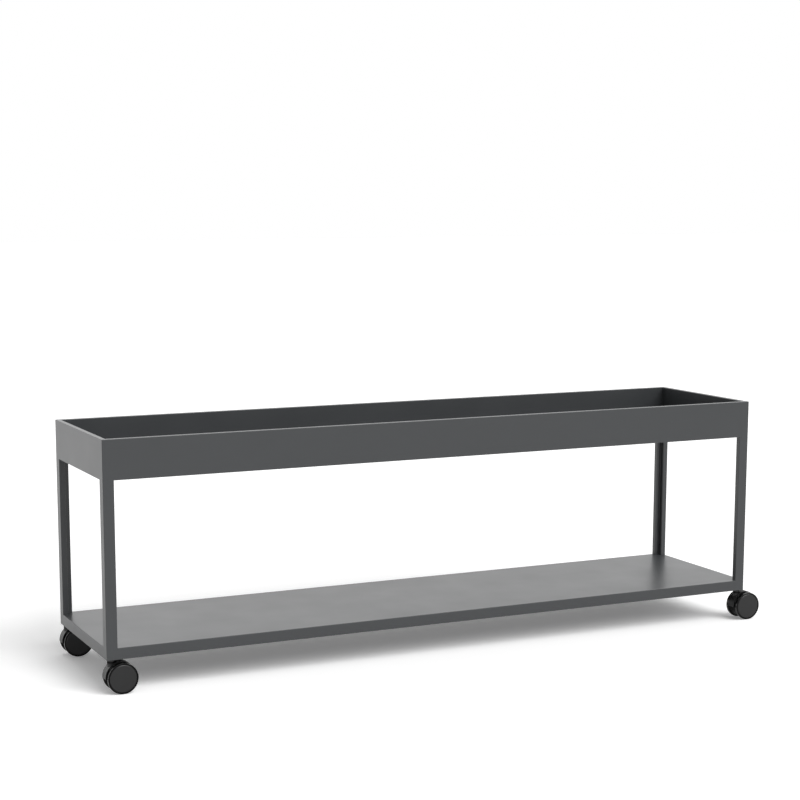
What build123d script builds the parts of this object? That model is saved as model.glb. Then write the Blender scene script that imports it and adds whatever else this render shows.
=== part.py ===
"""Long low trolley: a shallow open tray on four angle posts over a flat shelf, on swivel castors.

Millimetres, +Z up, standing on the plane Z = 0. The front faces -Y and the length runs along X.
The origin is on the floor at the middle of the whole object's box, with every castor trailing to +X.
"""

import os

from build123d import *

# Whole frame
length = 1500.0
depth = 340.0
clear_height = 330.0
edge_radius = 1.0

# Tray rails and floor
tray_height = 80.0
rail_thickness = 10.0
rail_wall = 1.6
web_height = 40.0
ledge_width = 10.0
ledge_thickness = 2.0
floor_thickness = 1.5
floor_gap = 0.5

# Posts
post_width = 22.5
post_thickness = 12.0
post_wall = 1.6

# Corner keys, corner blocks and the grub screws that hold them
plug_gap = 0.15
plug_length = 50.0
key_reach = 48.0
key_height = 30.0
key_screw_place = 36.0
post_screw_drop = 25.0
screw_radius = 2.0
screw_length = 7.0
screw_recess = 0.3
socket_flats = 2.0
socket_depth = 2.5
thread_gap = 0.05

# Shelf
shelf_height = 23.0
sheet = 1.5
seat_depth = 0.3
seat_gap = 0.3
flange_width = 12.0
flange_gap = 2.0
block_size = 40.0
stiffener_spacing = 110.0
stiffener_crown = 24.0
stiffener_foot = 12.0
stiffener_height = 15.0
stiffener_end_gap = 4.0

# Castor wheels
wheel_diameter = 62.0
wheel_width = 7.0
wheel_gap = 27.0
tyre_thickness = 2.8
tyre_round = 1.3
tyre_seat = 0.05
disc_thickness = 3.0
rim_thickness = 3.2
hub_radius = 7.5
hub_reach = 4.0
disc_round = 2.6

# Castor housing, axle and stem
stem_inset = 11.1
castor_trail = 19.0
wheel_headroom = 6.2
side_gap = 0.3
hood_radius = 31.0
hood_shift = 2.5
hood_lift = 2.0
hood_gap = 1.8
hood_wall = 1.4
hood_web = 8.0
hood_front_drop = 1.5
hood_tail_lift = 9.0
hood_toe_round = 1.0
hood_edge_round = 0.9
neck_radius = 7.5
neck_floor = 3.0
axle_radius = 3.0
axle_end_gap = 0.5
press_gap = 0.02
running_gap = 0.05
stem_thread_radius = 4.0
stem_thread_length = 14.0
stem_hole_spare = 2.0
flange_flats = 13.0
flange_thickness = 3.0
pin_radius = 3.5
pin_length = 22.0
pin_groove_depth = 0.5
pin_groove_width = 1.5
pin_hole_spare = 1.5
washer_radius = 7.0
washer_thickness = 1.0
washer_gap = 0.3

# Levels and places that follow from the sizes above
wheel_radius = wheel_diameter / 2
shelf_foot = wheel_diameter + wheel_headroom
shelf_top = shelf_foot + shelf_height
tray_foot = shelf_top + clear_height
left_reach = hood_radius + hood_shift - castor_trail - stem_inset
right_reach = castor_trail + wheel_radius - stem_inset
frame_left = -(length + right_reach - left_reach) / 2
frame_middle = frame_left + length / 2
post_foot = shelf_top - seat_depth
post_hollow = post_thickness - post_wall
post_hollow_reach = post_width - post_wall
screw_hole = screw_radius + thread_gap
post_screw_place = (post_thickness + post_hollow_reach) / 2

corner_names = ("front_left", "front_right", "back_right", "back_left")

# Each side's run, and the place of a piece that is drawn along X with its outer face on Y = 0
sides = {
    "front": (length, Pos(frame_left, -depth / 2)),
    "right": (depth, Pos(frame_left + length, -depth / 2) * Rot(0, 0, 90)),
    "back": (length, Pos(frame_left + length, depth / 2) * Rot(0, 0, 180)),
    "left": (depth, Pos(frame_left, depth / 2) * Rot(0, 0, 270)),
}

# A section drawn flat, with its X across and its Y up, stands across the length on this plane
across_length = Plane(origin=(0, 0, 0), x_dir=(0, 1, 0), z_dir=(1, 0, 0))


def at_corner(solid, corner):
    """Carry a piece drawn at the front left, its outer corner on the origin, to its own corner."""
    x, y = frame_left, -depth / 2
    if corner.endswith("right"):
        solid = mirror(solid, about=Plane.YZ)
        x = frame_left + length
    if corner.startswith("back"):
        solid = mirror(solid, about=Plane.XZ)
        y = depth / 2
    return Pos(x, y) * solid


def angle_prism(near, far, reach, bottom, top, round_edges=0.0):
    """Upright angle: two arms from near to far across, each reach long from the outer corner."""
    outline = make_face(Polyline((near, near), (reach, near), (reach, far), (far, far),
                                 (far, reach), (near, reach), close=True))
    if round_edges:
        outline = fillet(outline.vertices(), round_edges)
    return extrude(Pos(0, 0, bottom) * outline, amount=top - bottom)


def post_hollow_prism(bottom, top, gap=0.0):
    """The hollow inside a post, or with a gap the plug that goes into it."""
    return angle_prism(post_wall + gap, post_hollow - gap, post_hollow_reach - gap, bottom, top)


def edge_waste():
    """Outline of what rounding takes off a square corner that lies on the origin."""
    square = Rectangle(edge_radius, edge_radius, align=(Align.MIN, Align.MIN))
    return square - Pos(edge_radius, edge_radius) * Circle(edge_radius)


def bar_along_y(radius, x, z, y_from, y_to):
    """Round bar along Y between two places."""
    return Pos(x, (y_from + y_to) / 2, z) * Rot(90, 0, 0) * Cylinder(radius, abs(y_to - y_from))


def bar_along_x(radius, y, z, x_from, x_to):
    """Round bar along X between two places."""
    return Pos((x_from + x_to) / 2, y, z) * Rot(0, 90, 0) * Cylinder(radius, abs(x_to - x_from))


def grub_screw():
    """Grub screw standing along +Z, its socket end at the origin and its point below."""
    shank = Pos(0, 0, -screw_length / 2) * Cylinder(screw_radius, screw_length)
    key_socket = RegularPolygon(socket_flats / 2, 6, major_radius=False)
    return shank - extrude(key_socket, amount=-socket_depth)


def tray_rail(run):
    """Hollow rail along X with its outer face on Y = 0, mitred, and opened over each post's plug.

    The tray's upright corners are rounded, half of each round on either of the rails that meet there.
    """
    outline = Rectangle(rail_thickness, tray_height, align=(Align.MIN, Align.MIN))
    outline = fillet(outline.vertices().group_by(Axis.Y)[-1], edge_radius)
    ledge = Rectangle(rail_thickness + ledge_width, ledge_thickness, align=(Align.MIN, Align.MIN))
    hollow_width = rail_thickness - 2 * rail_wall
    lower_top = web_height - rail_wall / 2
    upper_foot = web_height + rail_wall / 2
    lower = Pos(rail_wall, ledge_thickness) * Rectangle(
        hollow_width, lower_top - ledge_thickness, align=(Align.MIN, Align.MIN))
    upper = Pos(rail_wall, upper_foot) * Rectangle(
        hollow_width, tray_height - rail_wall - upper_foot, align=(Align.MIN, Align.MIN))
    rail = extrude(across_length * (outline + ledge - lower - upper), amount=run)
    inner = rail_thickness + ledge_width
    mitres = make_face(Polyline((0, 0), (run, 0), (run - inner, inner), (inner, inner), close=True))
    rail = rail & extrude(mitres, amount=tray_height)
    other_end = Pos(run, 0) * Rot(0, 0, 90)
    for end_cut in (extrude(edge_waste(), amount=tray_height), post_hollow_prism(0, ledge_thickness)):
        rail = rail - end_cut - other_end * end_cut
    key_middle = ledge_thickness + key_height / 2
    for place in (key_screw_place, run - key_screw_place):
        rail = rail - bar_along_y(screw_hole, place, key_middle, rail_thickness - rail_wall, rail_thickness)
    return Pos(0, 0, tray_foot) * rail


def tray_key():
    """Cast corner key: an angle in the two rails' hollows, with a plug down into the post."""
    foot = tray_foot + ledge_thickness
    inset = rail_wall + plug_gap
    key = angle_prism(inset, rail_thickness - inset, key_reach, foot, foot + key_height)
    key = key + post_hollow_prism(tray_foot - plug_length, foot, plug_gap)
    middle = foot + key_height / 2
    key = key - bar_along_y(screw_hole, key_screw_place, middle, inset, rail_thickness)
    key = key - bar_along_x(screw_hole, key_screw_place, middle, inset, rail_thickness)
    return key - post_screw_hole(tray_foot - post_screw_drop)


def post_screw_hole(level):
    """Threaded hole through the wall and plug of a post's end-side arm, from the inside of the angle."""
    return bar_along_x(screw_hole, post_screw_place, level, post_wall, post_thickness + thread_gap)


def post():
    """Hollow angle post between its seat in the shelf and the tray, with a screw hole near each end."""
    solid = angle_prism(0, post_thickness, post_width, post_foot, tray_foot, edge_radius)
    solid = solid - post_hollow_prism(post_foot, tray_foot)
    for level in (shelf_top + post_screw_drop, tray_foot - post_screw_drop):
        solid = solid - post_screw_hole(level)
    return solid


def corner_block():
    """Cast block in a corner of the pan, with a plug up into the post and a hole for the castor."""
    top = shelf_top - sheet
    block = Pos(sheet, sheet, shelf_foot) * Box(
        block_size, block_size, top - shelf_foot, align=(Align.MIN, Align.MIN, Align.MIN))
    block = block + post_hollow_prism(top, shelf_top + plug_length, plug_gap)
    hole_depth = stem_thread_length + stem_hole_spare
    stem_hole = Pos(stem_inset, stem_inset, shelf_foot + hole_depth / 2) * Cylinder(
        stem_thread_radius + thread_gap, hole_depth)
    return block - stem_hole - post_screw_hole(shelf_top + post_screw_drop)


def shelf_pan():
    """Sheet folded down on all four sides, with feet turned in between the corner blocks.

    Each post has a shallow seat in the top, flush with the pan's sides.
    """
    outside = Pos(frame_middle, 0, shelf_foot) * Box(
        length, depth, shelf_height, align=(Align.CENTER, Align.CENTER, Align.MIN))
    outside = fillet(outside.edges().filter_by(Axis.Z), edge_radius)
    inside = Pos(frame_middle, 0, shelf_foot) * Box(
        length - 2 * sheet, depth - 2 * sheet, shelf_height - sheet,
        align=(Align.CENTER, Align.CENTER, Align.MIN))
    pan = outside - inside
    corner_space = sheet + block_size + flange_gap
    foot_low = (Align.CENTER, Align.CENTER, Align.MIN)
    for side in (-1, 1):
        long_place = side * (depth / 2 - sheet / 2 - flange_width / 2)
        end_place = frame_middle + side * (length / 2 - sheet / 2 - flange_width / 2)
        pan = pan + Pos(frame_middle, long_place, shelf_foot) * Box(
            length - 2 * corner_space, flange_width + sheet, sheet, align=foot_low)
        pan = pan + Pos(end_place, 0, shelf_foot) * Box(
            flange_width + sheet, depth - 2 * corner_space, sheet, align=foot_low)
    seat_reach = post_width + seat_gap
    seat = angle_prism(-seat_gap, post_thickness + seat_gap, seat_reach, post_foot, shelf_top)
    plug_hole = post_hollow_prism(shelf_top - sheet, post_foot)
    for corner in corner_names:
        pan = pan - at_corner(seat, corner) - at_corner(plug_hole, corner)
    top_edge = across_length * (Pos(0, shelf_top) * Rot(0, 0, -90) * edge_waste())
    for run, place in sides.values():
        pan = pan - place * Pos(seat_reach, 0) * extrude(top_edge, amount=run - 2 * seat_reach)
    return pan


def shelf_stiffener(y):
    """Hat section along the length, its two feet against the underside of the pan."""
    top = shelf_top - sheet
    inner = stiffener_crown / 2
    outer = inner + sheet
    edge = inner + stiffener_foot
    under = top - sheet
    crown = top - stiffener_height
    low = crown - sheet
    hat = Polyline((-edge, top), (-inner, top), (-inner, crown), (inner, crown), (inner, top), (edge, top),
                   (edge, under), (outer, under), (outer, low), (-outer, low), (-outer, under),
                   (-edge, under), close=True)
    run = length - 2 * sheet - 2 * stiffener_end_gap
    return Pos(frame_middle - run / 2, y) * extrude(across_length * make_face(hat), amount=run)


def castor_stem():
    """Stem on the swivel axis: thread, hexagon flange and a grooved swivel pin, from the top down."""
    thread = Pos(0, 0, shelf_foot + stem_thread_length / 2) * Cylinder(stem_thread_radius, stem_thread_length)
    hexagon = RegularPolygon(flange_flats / 2, 6, major_radius=False)
    flange = extrude(Pos(0, 0, shelf_foot - flange_thickness) * hexagon, amount=flange_thickness)
    pin_top = shelf_foot - flange_thickness
    pin = Pos(0, 0, pin_top - pin_length / 2) * Cylinder(pin_radius, pin_length)
    groove_foot = Cylinder(pin_radius - pin_groove_depth, pin_groove_width)
    groove = Cylinder(pin_radius, pin_groove_width) - groove_foot
    pin = pin - Pos(0, 0, pin_top - pin_length + 2 * pin_groove_width) * groove
    return thread + flange + pin


def castor_washer():
    """Thrust washer round the pin, under the flange."""
    ring = Cylinder(washer_radius, washer_thickness) - Cylinder(pin_radius + washer_gap, washer_thickness)
    return Pos(0, 0, shelf_foot - flange_thickness - washer_thickness / 2) * ring


def castor_housing():
    """Wide hood between the wheels on a middle web, with an axle boss and a neck for the swivel pin.

    The hood is round about a line a little nearer to the stem than the axle, and higher. Its lower
    edges lie on one slanting line, from under the axle's level up to the trailing end.
    """
    half_width = wheel_gap / 2 - hood_gap
    boss_end = wheel_gap / 2 - hub_reach - side_gap
    hood_x = castor_trail - hood_shift
    hood_z = wheel_radius + hood_lift
    wide = 2 * hood_radius
    slant = (hood_front_drop + hood_tail_lift) / 2
    above = make_face(Polyline((-wide, -hood_lift - hood_front_drop - slant),
                               (wide, hood_tail_lift - hood_lift + slant), (wide, wide), (-wide, wide),
                               close=True))
    side_view = Circle(hood_radius) & above
    side_view = fillet(side_view.vertices(), hood_toe_round)
    upright = Plane(origin=(hood_x, 0, hood_z), x_dir=(1, 0, 0), z_dir=(0, -1, 0))
    housing = extrude(upright * side_view, amount=half_width, both=True)
    housing = fillet(housing.faces().filter_by(Axis.Y).edges(), hood_edge_round)
    for side in (-1, 1):
        housing = housing - bar_along_y(
            hood_radius - hood_wall, hood_x, hood_z, side * hood_web / 2, side * half_width)
    housing = housing + bar_along_y(hub_radius, castor_trail, wheel_radius, -boss_end, boss_end)
    top = shelf_foot - flange_thickness - washer_thickness
    hole_depth = pin_length - washer_thickness + pin_hole_spare
    neck_length = hole_depth + neck_floor
    housing = housing + Pos(0, 0, top - neck_length / 2) * Cylinder(neck_radius, neck_length)
    housing = housing - Pos(0, 0, top - hole_depth / 2) * Cylinder(pin_radius + running_gap, hole_depth)
    return housing - bar_along_y(axle_radius + press_gap, castor_trail, wheel_radius, -boss_end, boss_end)


def castor_axle():
    """Axle pin pressed through the housing, its ends short of the wheels' blind bores."""
    half = wheel_gap / 2 + wheel_width - disc_thickness - axle_end_gap
    return bar_along_y(axle_radius, castor_trail, wheel_radius, -half, half)


def lathe(outline, side):
    """Ring turned about the axle from an outline of radius and distance out from the wheel's inner face."""
    inner_face = (castor_trail, side * wheel_gap / 2, wheel_radius)
    stand = Plane(origin=inner_face, x_dir=(1, 0, 0), z_dir=(0, 0, side))
    axle_line = Axis((castor_trail, 0, wheel_radius), (0, 1, 0))
    return revolve(stand * outline, axle_line)


def wheel_core(side):
    """Moulded disc, plain outside, dished inside between a rim and a blind hub that stands out inwards."""
    rim = wheel_radius - tyre_thickness
    bore = axle_radius + running_gap
    dish = wheel_width - disc_thickness
    outline = Polyline((0, wheel_width), (rim, wheel_width), (rim, 0), (rim - rim_thickness, 0),
                       (rim - rim_thickness, dish), (hub_radius, dish), (hub_radius, -hub_reach),
                       (bore, -hub_reach), (bore, dish), (0, dish), close=True)
    face = make_face(outline)
    rim_corner = face.vertices().sort_by_distance((rim, wheel_width))[0]
    return lathe(fillet(rim_corner, disc_round), side)


def wheel_tyre(side):
    """Tyre round the disc, well rounded at both edges of its tread."""
    seat = wheel_radius - tyre_thickness + tyre_seat
    band = Pos(seat, 0) * Rectangle(wheel_radius - seat, wheel_width, align=(Align.MIN, Align.MIN))
    band = fillet(band.vertices().group_by(Axis.X)[-1], tyre_round)
    return lathe(band, side)


os.makedirs("parts", exist_ok=True)


def save(name, solid):
    """Write one piece, or one group of like pieces, under its own name."""
    solid.label = name
    export_step(solid, f"parts/{name}.step")


key_level = tray_foot + ledge_thickness + key_height / 2
screw_start = rail_thickness - screw_recess
key_screw_places = [Pos(key_screw_place, screw_start, key_level) * Rot(-90, 0, 0),
                    Pos(screw_start, key_screw_place, key_level) * Rot(0, 90, 0)]
screw = grub_screw()

for side, (run, place) in sides.items():
    save(f"tray_rail_{side}", place * tray_rail(run))

post_spot = Pos(post_thickness - screw_recess, post_screw_place) * Rot(0, 90, 0)
top_screw = Pos(0, 0, tray_foot - post_screw_drop) * post_spot * screw
bottom_screw = Pos(0, 0, shelf_top + post_screw_drop) * post_spot * screw
key_screws, top_screws, bottom_screws = [], [], []
for corner in corner_names:
    save(f"tray_key_{corner}", at_corner(tray_key(), corner))
    save(f"post_{corner}", at_corner(post(), corner))
    save(f"corner_block_{corner}", at_corner(corner_block(), corner))
    key_screws += [at_corner(spot * screw, corner) for spot in key_screw_places]
    top_screws.append(at_corner(top_screw, corner))
    bottom_screws.append(at_corner(bottom_screw, corner))
save("tray_key_screws", Compound(children=key_screws))
save("post_top_screws", Compound(children=top_screws))
save("post_bottom_screws", Compound(children=bottom_screws))

save("tray_floor", Pos(frame_middle, 0, tray_foot + ledge_thickness) * Box(
    length - 2 * rail_thickness - 2 * floor_gap, depth - 2 * rail_thickness - 2 * floor_gap, floor_thickness,
    align=(Align.CENTER, Align.CENTER, Align.MIN)))
save("shelf_pan", shelf_pan())
save("shelf_stiffener_front", shelf_stiffener(-stiffener_spacing / 2))
save("shelf_stiffener_back", shelf_stiffener(stiffener_spacing / 2))

for corner in corner_names:
    stem_x = frame_left + (stem_inset if corner.endswith("left") else length - stem_inset)
    outward = -1 if corner.startswith("front") else 1
    place = Pos(stem_x, outward * (depth / 2 - stem_inset))
    save(f"castor_{corner}_stem", place * castor_stem())
    save(f"castor_{corner}_washer", place * castor_washer())
    save(f"castor_{corner}_housing", place * castor_housing())
    save(f"castor_{corner}_axle", place * castor_axle())
    for wheel, side in (("outer", outward), ("inner", -outward)):
        save(f"castor_{corner}_{wheel}_core", place * wheel_core(side))
        save(f"castor_{corner}_{wheel}_tyre", place * wheel_tyre(side))
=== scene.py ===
"""A long, low tray trolley on twin-wheel castors, in one anthracite powder coat, in a white studio.

Metres, +Z up. The front of the trolley faces -Y, and its length runs along X.
"""
from math import radians

import bpy
import numpy as np
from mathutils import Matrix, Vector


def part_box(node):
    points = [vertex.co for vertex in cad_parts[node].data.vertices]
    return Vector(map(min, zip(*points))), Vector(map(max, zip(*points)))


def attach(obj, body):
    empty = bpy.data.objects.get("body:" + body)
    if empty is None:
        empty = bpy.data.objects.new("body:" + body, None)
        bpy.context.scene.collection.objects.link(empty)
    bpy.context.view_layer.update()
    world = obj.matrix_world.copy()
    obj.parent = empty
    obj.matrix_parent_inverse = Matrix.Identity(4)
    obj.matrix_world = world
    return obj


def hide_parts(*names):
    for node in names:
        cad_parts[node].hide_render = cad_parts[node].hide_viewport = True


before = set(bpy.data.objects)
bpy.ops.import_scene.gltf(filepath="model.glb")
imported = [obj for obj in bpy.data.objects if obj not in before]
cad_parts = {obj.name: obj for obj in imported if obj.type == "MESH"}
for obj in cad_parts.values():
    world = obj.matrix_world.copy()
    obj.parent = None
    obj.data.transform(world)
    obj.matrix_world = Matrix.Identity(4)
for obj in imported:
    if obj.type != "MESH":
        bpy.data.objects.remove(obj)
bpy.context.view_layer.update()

# Shelf pan: one steel sheet, folded down along all four sides with its feet turned in, the corners
# welded and ground. It is sprayed with a fine anthracite powder and baked to a soft, even sheen.


class Shade:
    """A value in a finish: arithmetic on it adds Math nodes, and node() adds any other node."""

    def __init__(self, tree, socket=None):
        self.tree = tree
        self.socket = socket

    def node(self, kind, settings, sockets, output=0):
        """Add a node of this kind: its settings first, then the numbers or links of its sockets."""
        added = self.tree.nodes.new(kind)
        for name, setting in settings.items():
            setattr(added, name, setting)
        for name, given in sockets.items():
            if isinstance(given, Shade):
                self.tree.links.new(given.socket, added.inputs[name])
            else:
                added.inputs[name].default_value = given
        return Shade(self.tree, added.outputs[output] if added.outputs else None)

    def math(self, operation, first, second):
        return self.node("ShaderNodeMath", {"operation": operation}, {0: first, 1: second})

    def __add__(self, other):
        return self.math("ADD", self, other)

    def __radd__(self, other):
        return self.math("ADD", other, self)

    def __sub__(self, other):
        return self.math("SUBTRACT", self, other)

    def __mul__(self, other):
        return self.math("MULTIPLY", self, other)

    def __rmul__(self, other):
        return self.math("MULTIPLY", other, self)

    def __abs__(self):
        return self.math("ABSOLUTE", self, 0.0)

    def clamped(self):
        """This value, kept between 0 and 1."""
        return self.node("ShaderNodeClamp", {}, {"Value": self})

    def noise(self, size, detail=2.0):
        """Soft random patches, about this many metres across, from 0 to 1 at this place."""
        return self.node(
            "ShaderNodeTexNoise", {}, {"Vector": self, "Scale": 1 / size, "Detail": detail})

    def blend(self, first, second):
        """Colour between two, by this value."""
        share, from_colour, to_colour, mixed_colour = 0, 6, 7, 2
        return self.node(
            "ShaderNodeMix", {"data_type": "RGBA"},
            {share: self, from_colour: first, to_colour: second}, mixed_colour)

    def relief(self, depth):
        """Normal of a surface that stands up by this depth, in metres, where this value is 1."""
        return self.node("ShaderNodeBump", {}, {"Height": self, "Distance": depth, "Strength": 1.0})

    def skin(self, **sockets):
        """A Principled surface."""
        named = {name.replace("_", " "): given for name, given in sockets.items()}
        return self.node("ShaderNodeBsdfPrincipled", {}, named)

    def close(self, skin):
        """End the finish with this surface."""
        self.node("ShaderNodeOutputMaterial", {}, {"Surface": skin})

    def surface(self, **sockets):
        """End the finish with a Principled surface."""
        self.close(self.skin(**sockets))


def new_finish(name):
    """An empty material, and the place on the piece that its patterns start from."""
    material = bpy.data.materials.new(name)
    material.use_nodes = True
    material.node_tree.nodes.clear()
    start = Shade(material.node_tree)
    return material, start.node("ShaderNodeTexCoord", {}, {}, "Object")


def dress(finish, *names):
    """Give frame pieces this finish instead of the plain one that they came with."""
    for name in names:
        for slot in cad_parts[name].material_slots:
            slot.material = finish


anthracite_deep = (0.040, 0.0425, 0.045, 1.0)
anthracite_light = (0.046, 0.049, 0.052, 1.0)
powder_grain = 0.0006
powder_grain_height = 0.000012
powder_flow = 0.006
powder_flow_height = 0.000008
powder_cloud = 0.09
powder_cloud_tint = 0.7
powder_grain_tint = 0.3
powder_roughness = 0.30
powder_roughness_spread = 0.08

powder_coat, place = new_finish("anthracite powder coat")
cloud = place.noise(powder_cloud)
grain = place.noise(powder_grain)
flow = place.noise(powder_flow)
grain_share = powder_grain_height / powder_flow_height
place.surface(
    Base_Color=(cloud * powder_cloud_tint + grain * powder_grain_tint).blend(
        anthracite_deep, anthracite_light),
    Roughness=powder_roughness + powder_roughness_spread * cloud,
    Normal=(flow + grain_share * grain).relief(powder_flow_height),
)
dress(powder_coat, "shelf_pan")

# Shelf stiffeners: two hat sections of the same sheet, spot-welded under the pan along its length
# before it is coated, so that the shelf stays flat under load.

dress(powder_coat, "shelf_stiffener_front", "shelf_stiffener_back")

# Corner blocks: castings in the pan's corners, tapped for the castors below, each with a plug
# that goes up into a post. They stay bare, with the dull, pebbled skin of a sand mould.

corners = ("front_left", "front_right", "back_right", "back_left")
cast_dark = (0.34, 0.34, 0.35, 1.0)
cast_light = (0.46, 0.46, 0.47, 1.0)
sand_grain = 0.0011
sand_detail = 3.0
sand_height = 0.00009
sand_tint = 0.5
cast_stain = 0.0165
cast_stain_tint = 0.5
cast_roughness = 0.5
cast_roughness_spread = 0.2

cast_metal, place = new_finish("bare casting")
sand = place.noise(sand_grain, sand_detail)
stain = place.noise(cast_stain)
place.surface(
    Base_Color=(sand_tint * sand + cast_stain_tint * stain).blend(cast_dark, cast_light),
    Metallic=1.0,
    Roughness=cast_roughness + cast_roughness_spread * stain,
    Normal=sand.relief(sand_height),
)
dress(cast_metal, *[f"corner_block_{corner}" for corner in corners])

# Posts: hollow angle sections, cut square and pushed over the plugs. They are coated with the
# frame, so that their faces run on into the rails and the pan without a seam.

dress(powder_coat, *[f"post_{corner}" for corner in corners])

# Grub screws: hardened steel, chemically blackened and slightly oily, with a hexagon socket.
# They clamp the plugs in the posts and the keys in the rails from the inner faces.

black_oxide = (0.018, 0.018, 0.019, 1.0)
black_oxide_rubbed = (0.055, 0.054, 0.053, 1.0)
oxide_patch = 0.0015
oxide_detail = 4.0
oxide_roughness = 0.32
oxide_roughness_spread = 0.2

blackened_steel, place = new_finish("blackened steel")
patch = place.noise(oxide_patch, oxide_detail)
place.surface(
    Base_Color=patch.blend(black_oxide, black_oxide_rubbed),
    Metallic=1.0,
    Roughness=oxide_roughness + oxide_roughness_spread * patch,
)
dress(blackened_steel, "post_bottom_screws", "post_top_screws", "tray_key_screws")

# Tray keys: angles inside the hollow rails, cast and left bare as the corner blocks are. Each has a
# plug that goes down into its post, and is held in the rails by grub screws.

dress(cast_metal, *[f"tray_key_{corner}" for corner in corners])

# Tray rails: hollow extrusions, mitred and joined round the tray, with a ledge along the foot
# inside. The tray floor is one sheet that lies on the ledges. All are in the same coat.

dress(powder_coat, *[f"tray_rail_{side}" for side in ("front", "right", "back", "left")])
dress(powder_coat, "tray_floor")

# Castor stems and washers: a blackened steel stem with a hexagon flange, screwed up into the
# corner block, and a hard plastic washer that the housing turns against.

washer_dark = (0.018, 0.018, 0.019, 1.0)
washer_pale = (0.026, 0.026, 0.027, 1.0)
washer_speck = 0.0004
washer_roughness = 0.42
washer_roughness_spread = 0.1

washer_plastic, place = new_finish("washer plastic")
speck = place.noise(washer_speck)
place.surface(
    Base_Color=speck.blend(washer_dark, washer_pale),
    Roughness=washer_roughness + washer_roughness_spread * speck,
)
dress(blackened_steel, *[f"castor_{corner}_stem" for corner in corners])
dress(washer_plastic, *[f"castor_{corner}_washer" for corner in corners])

# Castor axles: turned steel pins, zinc plated against rust. They are pressed through the housings,
# and the wheels run on their ends.

zinc = (0.52, 0.53, 0.55, 1.0)
zinc_bloom = (0.62, 0.63, 0.64, 1.0)
bloom_size = 0.002
bloom_detail = 3.0
zinc_roughness = 0.25
zinc_roughness_spread = 0.15

zinc_plate, place = new_finish("zinc plate")
bloom = place.noise(bloom_size, bloom_detail)
place.surface(
    Base_Color=bloom.blend(zinc, zinc_bloom),
    Metallic=1.0,
    Roughness=zinc_roughness + zinc_roughness_spread * bloom,
)
dress(zinc_plate, *[f"castor_{corner}_axle" for corner in corners])

# Castor housings: one black moulding each, a wide hood between the two wheels with a round neck
# over the swivel pin. Their skin has the fine grain of a spark-eroded mould. On the neck and on the
# flat sides next to the wheels its reflection is turned down, as painted shade under the shelf and
# between the parts.

housing_black = (0.0025, 0.0025, 0.0027, 1.0)
housing_worn = (0.0040, 0.0040, 0.0042, 1.0)
housing_shine = 0.45
housing_shade_shine = 0.06
castor_middle = 0.1589
hood_side = 0.0117
hood_edge = 0.0009
neck_foot = 0.058
neck_blend = 0.004
housing_grain = 0.0005
housing_scuff = 0.01
housing_grain_height = 0.000015
housing_roughness = 0.36
housing_roughness_spread = 0.12

housing_plastic, place = new_finish("housing plastic")
grain = place.noise(housing_grain)
scuff = place.noise(housing_scuff)
# Painted shade: a mask over the hood's flat sides between the wheels and over the neck under the
# shelf, where shade falls.
across, height = (
    place.node("ShaderNodeSeparateXYZ", {}, {"Vector": place}, axis) for axis in ("Y", "Z"))
off_middle = abs(abs(across) - castor_middle)
side_shade = ((off_middle - (hood_side - hood_edge)) * (1 / hood_edge)).clamped()
neck_shade = ((height - neck_foot) * (1 / neck_blend)).clamped()
painted_shade = place.math("MAXIMUM", side_shade * side_shade, neck_shade)
# An unshaded copy of the skin, and a copy with painted shade that reflects little, mixed by that
# mask.
unshaded_skin, shaded_skin = (
    place.skin(
        Base_Color=scuff.blend(housing_black, housing_worn),
        Specular_IOR_Level=shine,
        Roughness=housing_roughness + housing_roughness_spread * scuff,
        Normal=grain.relief(housing_grain_height),
    )
    for shine in (housing_shine, housing_shade_shine))
share, at_none, at_all = 0, 1, 2
place.close(place.node(
    "ShaderNodeMixShader", {}, {share: painted_shade, at_none: unshaded_skin, at_all: shaded_skin}))
dress(housing_plastic, *[f"castor_{corner}_housing" for corner in corners])

# Wheel cores: moulded black discs, plain and smooth outside with a well-rounded edge, dished
# inside between the rim and a blind hub that turns on the axle.


def arc(centre, radius, start, end, steps):
    """Points on an arc: the centre plus the radius times the cosine and sine of each angle.
    The angles, in degrees, go from start to end in equal steps."""
    angles = np.radians(np.linspace(start, end, steps + 1))
    return np.array(centre) + radius * np.stack([np.cos(angles), np.sin(angles)], axis=1)


def turned(name, outline, node, outward, closed):
    """Piece turned about an axle along Y: each outline point, of radius r and height h over the
    inner side of the box of the frame's own piece, goes round as (r cos a, h, r sin a) from the
    middle of that box. A closed outline joins its last point to its first, and an open one ends
    in a flat face at each end."""
    low, high = (np.array(corner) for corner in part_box(node))
    middle = (low + high) / 2
    inner_side = low[1] if outward > 0 else high[1]
    angles = outward * np.linspace(0, 2 * np.pi, round_steps, endpoint=False)
    radius, height = outline[:, :1], outline[:, 1:]
    grid = np.stack([middle[0] + radius * np.cos(angles),
                     inner_side + outward * height + 0 * angles,
                     middle[2] + radius * np.sin(angles)], axis=-1)
    number = np.arange(grid.shape[0] * grid.shape[1]).reshape(grid.shape[:2])
    here = number if closed else number[:-1]
    after = np.roll(number, -1, axis=0) if closed else number[1:]
    quads = np.stack([here, np.roll(here, -1, axis=1), np.roll(after, -1, axis=1), after], axis=-1)
    faces = quads.reshape(-1, 4).tolist()
    if not closed:
        faces += [number[0][::-1].tolist(), number[-1].tolist()]
    mesh = bpy.data.meshes.new(name)
    mesh.from_pydata(grid.reshape(-1, 3), [], faces)
    mesh.shade_smooth()
    mesh.set_sharp_from_angle(angle=radians(sharp_turn))
    piece = bpy.data.objects.new(name, mesh)
    bpy.context.scene.collection.objects.link(piece)
    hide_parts(node)
    return piece


round_steps = 128
sharp_turn = 32
wheel_width = 0.0070
core_radius = 0.0282
face_centre = 0.004
face_edge = 0.0026
rim_inside = 0.025
dish_floor = 0.0040
dish_fillet = 0.001
hub_radius = 0.0075
hub_reach = 0.004
bore_radius = 0.00305
fine_edge = 0.0004
face_steps = 8
fillet_steps = 4
edge_steps = 3

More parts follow.
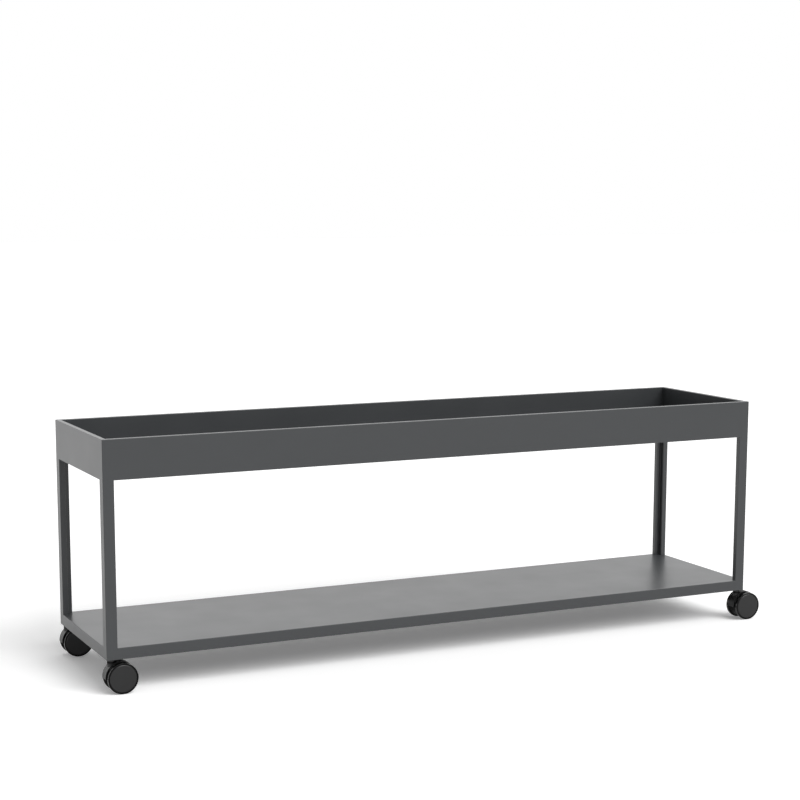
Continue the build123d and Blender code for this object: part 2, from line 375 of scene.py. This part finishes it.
core_outline = np.concatenate([
    [(face_centre, wheel_width)],
    [(core_radius - 2 * face_edge, wheel_width)],
    arc((core_radius - face_edge, wheel_width - face_edge), face_edge, 90, 0, face_steps),
    arc((core_radius - fine_edge, fine_edge), fine_edge, 0, -90, edge_steps),
    arc((rim_inside + fine_edge, fine_edge), fine_edge, -90, -180, edge_steps),
    arc((rim_inside - dish_fillet, dish_floor - dish_fillet), dish_fillet, 0, 90, fillet_steps),
    arc((hub_radius + dish_fillet, dish_floor - dish_fillet), dish_fillet, 90, 180, fillet_steps),
    arc((hub_radius - fine_edge, fine_edge - hub_reach), fine_edge, 0, -90, edge_steps),
    arc((bore_radius + fine_edge, fine_edge - hub_reach), fine_edge, -90, -180, edge_steps),
    [(bore_radius, dish_floor)],
]) + (0, hub_reach)

disc_black = (0.0042, 0.0042, 0.0044, 1.0)
disc_grey = (0.0054, 0.0054, 0.0057, 1.0)
disc_shine = 0.42
disc_cloud = 0.012
disc_grain = 0.0003
disc_grain_height = 0.000004
disc_roughness = 0.26
disc_roughness_spread = 0.06

wheel_plastic, place = new_finish("wheel plastic")
cloud = place.noise(disc_cloud)
grain = place.noise(disc_grain)
place.surface(
    Base_Color=cloud.blend(disc_black, disc_grey),
    Specular_IOR_Level=disc_shine,
    Roughness=disc_roughness + disc_roughness_spread * cloud,
    Normal=grain.relief(disc_grain_height),
)

wheels = []
for corner in corners:
    to_outside = -1 if corner.startswith("front") else 1
    wheels += [(corner, "outer", to_outside), (corner, "inner", -to_outside)]

for corner, wheel, outward in wheels:
    core = turned(
        f"{corner}_{wheel}_disc", core_outline, f"castor_{corner}_{wheel}_core", outward,
        closed=False)
    core.data.materials.append(wheel_plastic)
    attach(core, f"wheel_{corner}_{wheel}")

# Tyres: soft black bands pressed on the discs, with full round shoulders and a fine bead against
# the disc. The mould leaves their sides dull, and is polished where it forms the tread.

tyre_seat = 0.02825
tyre_radius = 0.031
shoulder = 0.0014
shoulder_fall = 0.00012
shoulder_steps = 12
bead = 0.0004
tread_depth = 0.00055

shoulder_centre = tyre_radius - shoulder_fall - shoulder
tyre_outline = np.concatenate([
    arc((tyre_seat + bead, wheel_width - bead), bead, 180, 90, edge_steps),
    arc((shoulder_centre, wheel_width - shoulder), shoulder, 90, 0, shoulder_steps),
    [(tyre_radius, wheel_width / 2)],
    arc((shoulder_centre, shoulder), shoulder, 0, -90, shoulder_steps),
    arc((tyre_seat + bead, bead), bead, -90, -180, edge_steps),
])
ring = tyre_outline[:, 0]
on_tread = np.minimum(ring, np.roll(ring, -1)) > tyre_radius - tread_depth
finish_number = np.repeat(on_tread, round_steps).astype(np.int32)

rubber_black = (0.0030, 0.0030, 0.0031, 1.0)
rubber_bloom = (0.0045, 0.0045, 0.0046, 1.0)
rubber_patch = 0.006
rubber_detail = 3.0
rubber_roughness_spread = 0.12
side_shine = 0.08
side_roughness = 0.4
tread_shine = 0.5
tread_roughness = 0.12


def rubber(name, shine, roughness):
    """Black rubber with a faint bloom in patches."""
    finish, place = new_finish(name)
    patch = place.noise(rubber_patch, rubber_detail)
    place.surface(
        Base_Color=patch.blend(rubber_black, rubber_bloom),
        Specular_IOR_Level=shine,
        Roughness=roughness + rubber_roughness_spread * patch,
    )
    return finish


tyre_side = rubber("tyre side", side_shine, side_roughness)
tyre_tread = rubber("tyre tread", tread_shine, tread_roughness)

for corner, wheel, outward in wheels:
    tyre = turned(
        f"{corner}_{wheel}_tyre", tyre_outline, f"castor_{corner}_{wheel}_tyre", outward,
        closed=True)
    tyre.data.materials.append(tyre_side)
    tyre.data.materials.append(tyre_tread)
    tyre.data.polygons.foreach_set("material_index", finish_number)
    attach(tyre, f"wheel_{corner}_{wheel}")

# Studio: a seamless white floor and surroundings, a large soft light over the front right, a weaker
# one beside it on the right, and two faint broad ones from behind that lift the edges.

floor_half = 30.0
floor_mesh = bpy.data.meshes.new("studio_floor")
floor_mesh.from_pydata(
    [(-floor_half, -floor_half, 0), (floor_half, -floor_half, 0), (floor_half, floor_half, 0),
     (-floor_half, floor_half, 0)], [], [(0, 1, 2, 3)])
floor = bpy.data.objects.new("studio_floor", floor_mesh)
bpy.context.scene.collection.objects.link(floor)


def seen_directly(start):
    """1 for rays from the camera, from gloss and through glass, and 0 for diffuse light."""
    path = start.node("ShaderNodeLightPath", {}, {})
    outputs = path.socket.node.outputs
    camera_ray, glossy, through = (
        Shade(start.tree, outputs[name])
        for name in ("Is Camera Ray", "Is Glossy Ray", "Is Transmission Ray"))
    return start.math("MINIMUM", camera_ray + glossy + through, 1.0)


paper_for_bounce = (0.35, 0.35, 0.35, 1.0)
paper_seen = (1.0, 1.0, 1.0, 1.0)
paper_glow = 0.16
white = (1.0, 1.0, 1.0, 1.0)

floor_white, place = new_finish("studio floor")
seen = seen_directly(place)
paper = seen.blend(paper_for_bounce, paper_seen)
matt = place.node("ShaderNodeBsdfDiffuse", {}, {"Color": paper})
glow = place.node("ShaderNodeEmission", {}, {"Color": white, "Strength": paper_glow * seen})
both = place.node("ShaderNodeAddShader", {}, {0: matt, 1: glow})
place.node("ShaderNodeOutputMaterial", {}, {"Surface": both})
floor_mesh.materials.append(floor_white)

fill = 0.36
world = bpy.data.worlds.new("white studio")
world.use_nodes = True
world.node_tree.nodes.clear()
start = Shade(world.node_tree)
seen = seen_directly(start)
sky = start.node("ShaderNodeBackground", {}, {"Color": white, "Strength": fill + (1 - fill) * seen})
start.node("ShaderNodeOutputWorld", {}, {"Surface": sky})
bpy.context.scene.world = world


def soft_sun(name, turn, height, strength, spread):
    """Even light from far off, turned this far round from the front to the right and this high.
    Its spread is the angle that its disc fills. The angles are in degrees."""
    lamp = bpy.data.lights.new(name, "SUN")
    lamp.energy = strength
    lamp.angle = radians(spread)
    light = bpy.data.objects.new(name, lamp)
    light.rotation_euler = (radians(90 - height), 0, radians(turn))
    bpy.context.scene.collection.objects.link(light)


soft_sun("key", turn=22, height=43, strength=2.2, spread=45)
soft_sun("side", turn=60, height=40, strength=0.65, spread=45)
soft_sun("back_right", turn=150, height=30, strength=0.42, spread=90)
soft_sun("back_left", turn=-150, height=30, strength=0.40, spread=90)

# Camera: a long lens in front of the left end, higher than the tray and tipped down a little. The
# lens is shifted, so that the trolley stands low in a square picture.

picture_width = 800
focal_pixels = 1804.2
sensor = 36.0
lens_shift = (0.02721, 0.08286)
standpoint = (-1.72285, -3.4775, 0.9705)
tip_down = 8.695
turn_right = 24.904

camera = bpy.data.cameras.new("camera")
camera.sensor_width = sensor
camera.lens = focal_pixels * sensor / picture_width
camera.shift_x, camera.shift_y = lens_shift
viewer = bpy.data.objects.new("camera", camera)
viewer.location = standpoint
viewer.rotation_euler = (radians(90 - tip_down), 0, radians(-turn_right))
bpy.context.scene.collection.objects.link(viewer)
bpy.context.scene.camera = viewer
bpy.context.scene.view_settings.view_transform = "Standard"
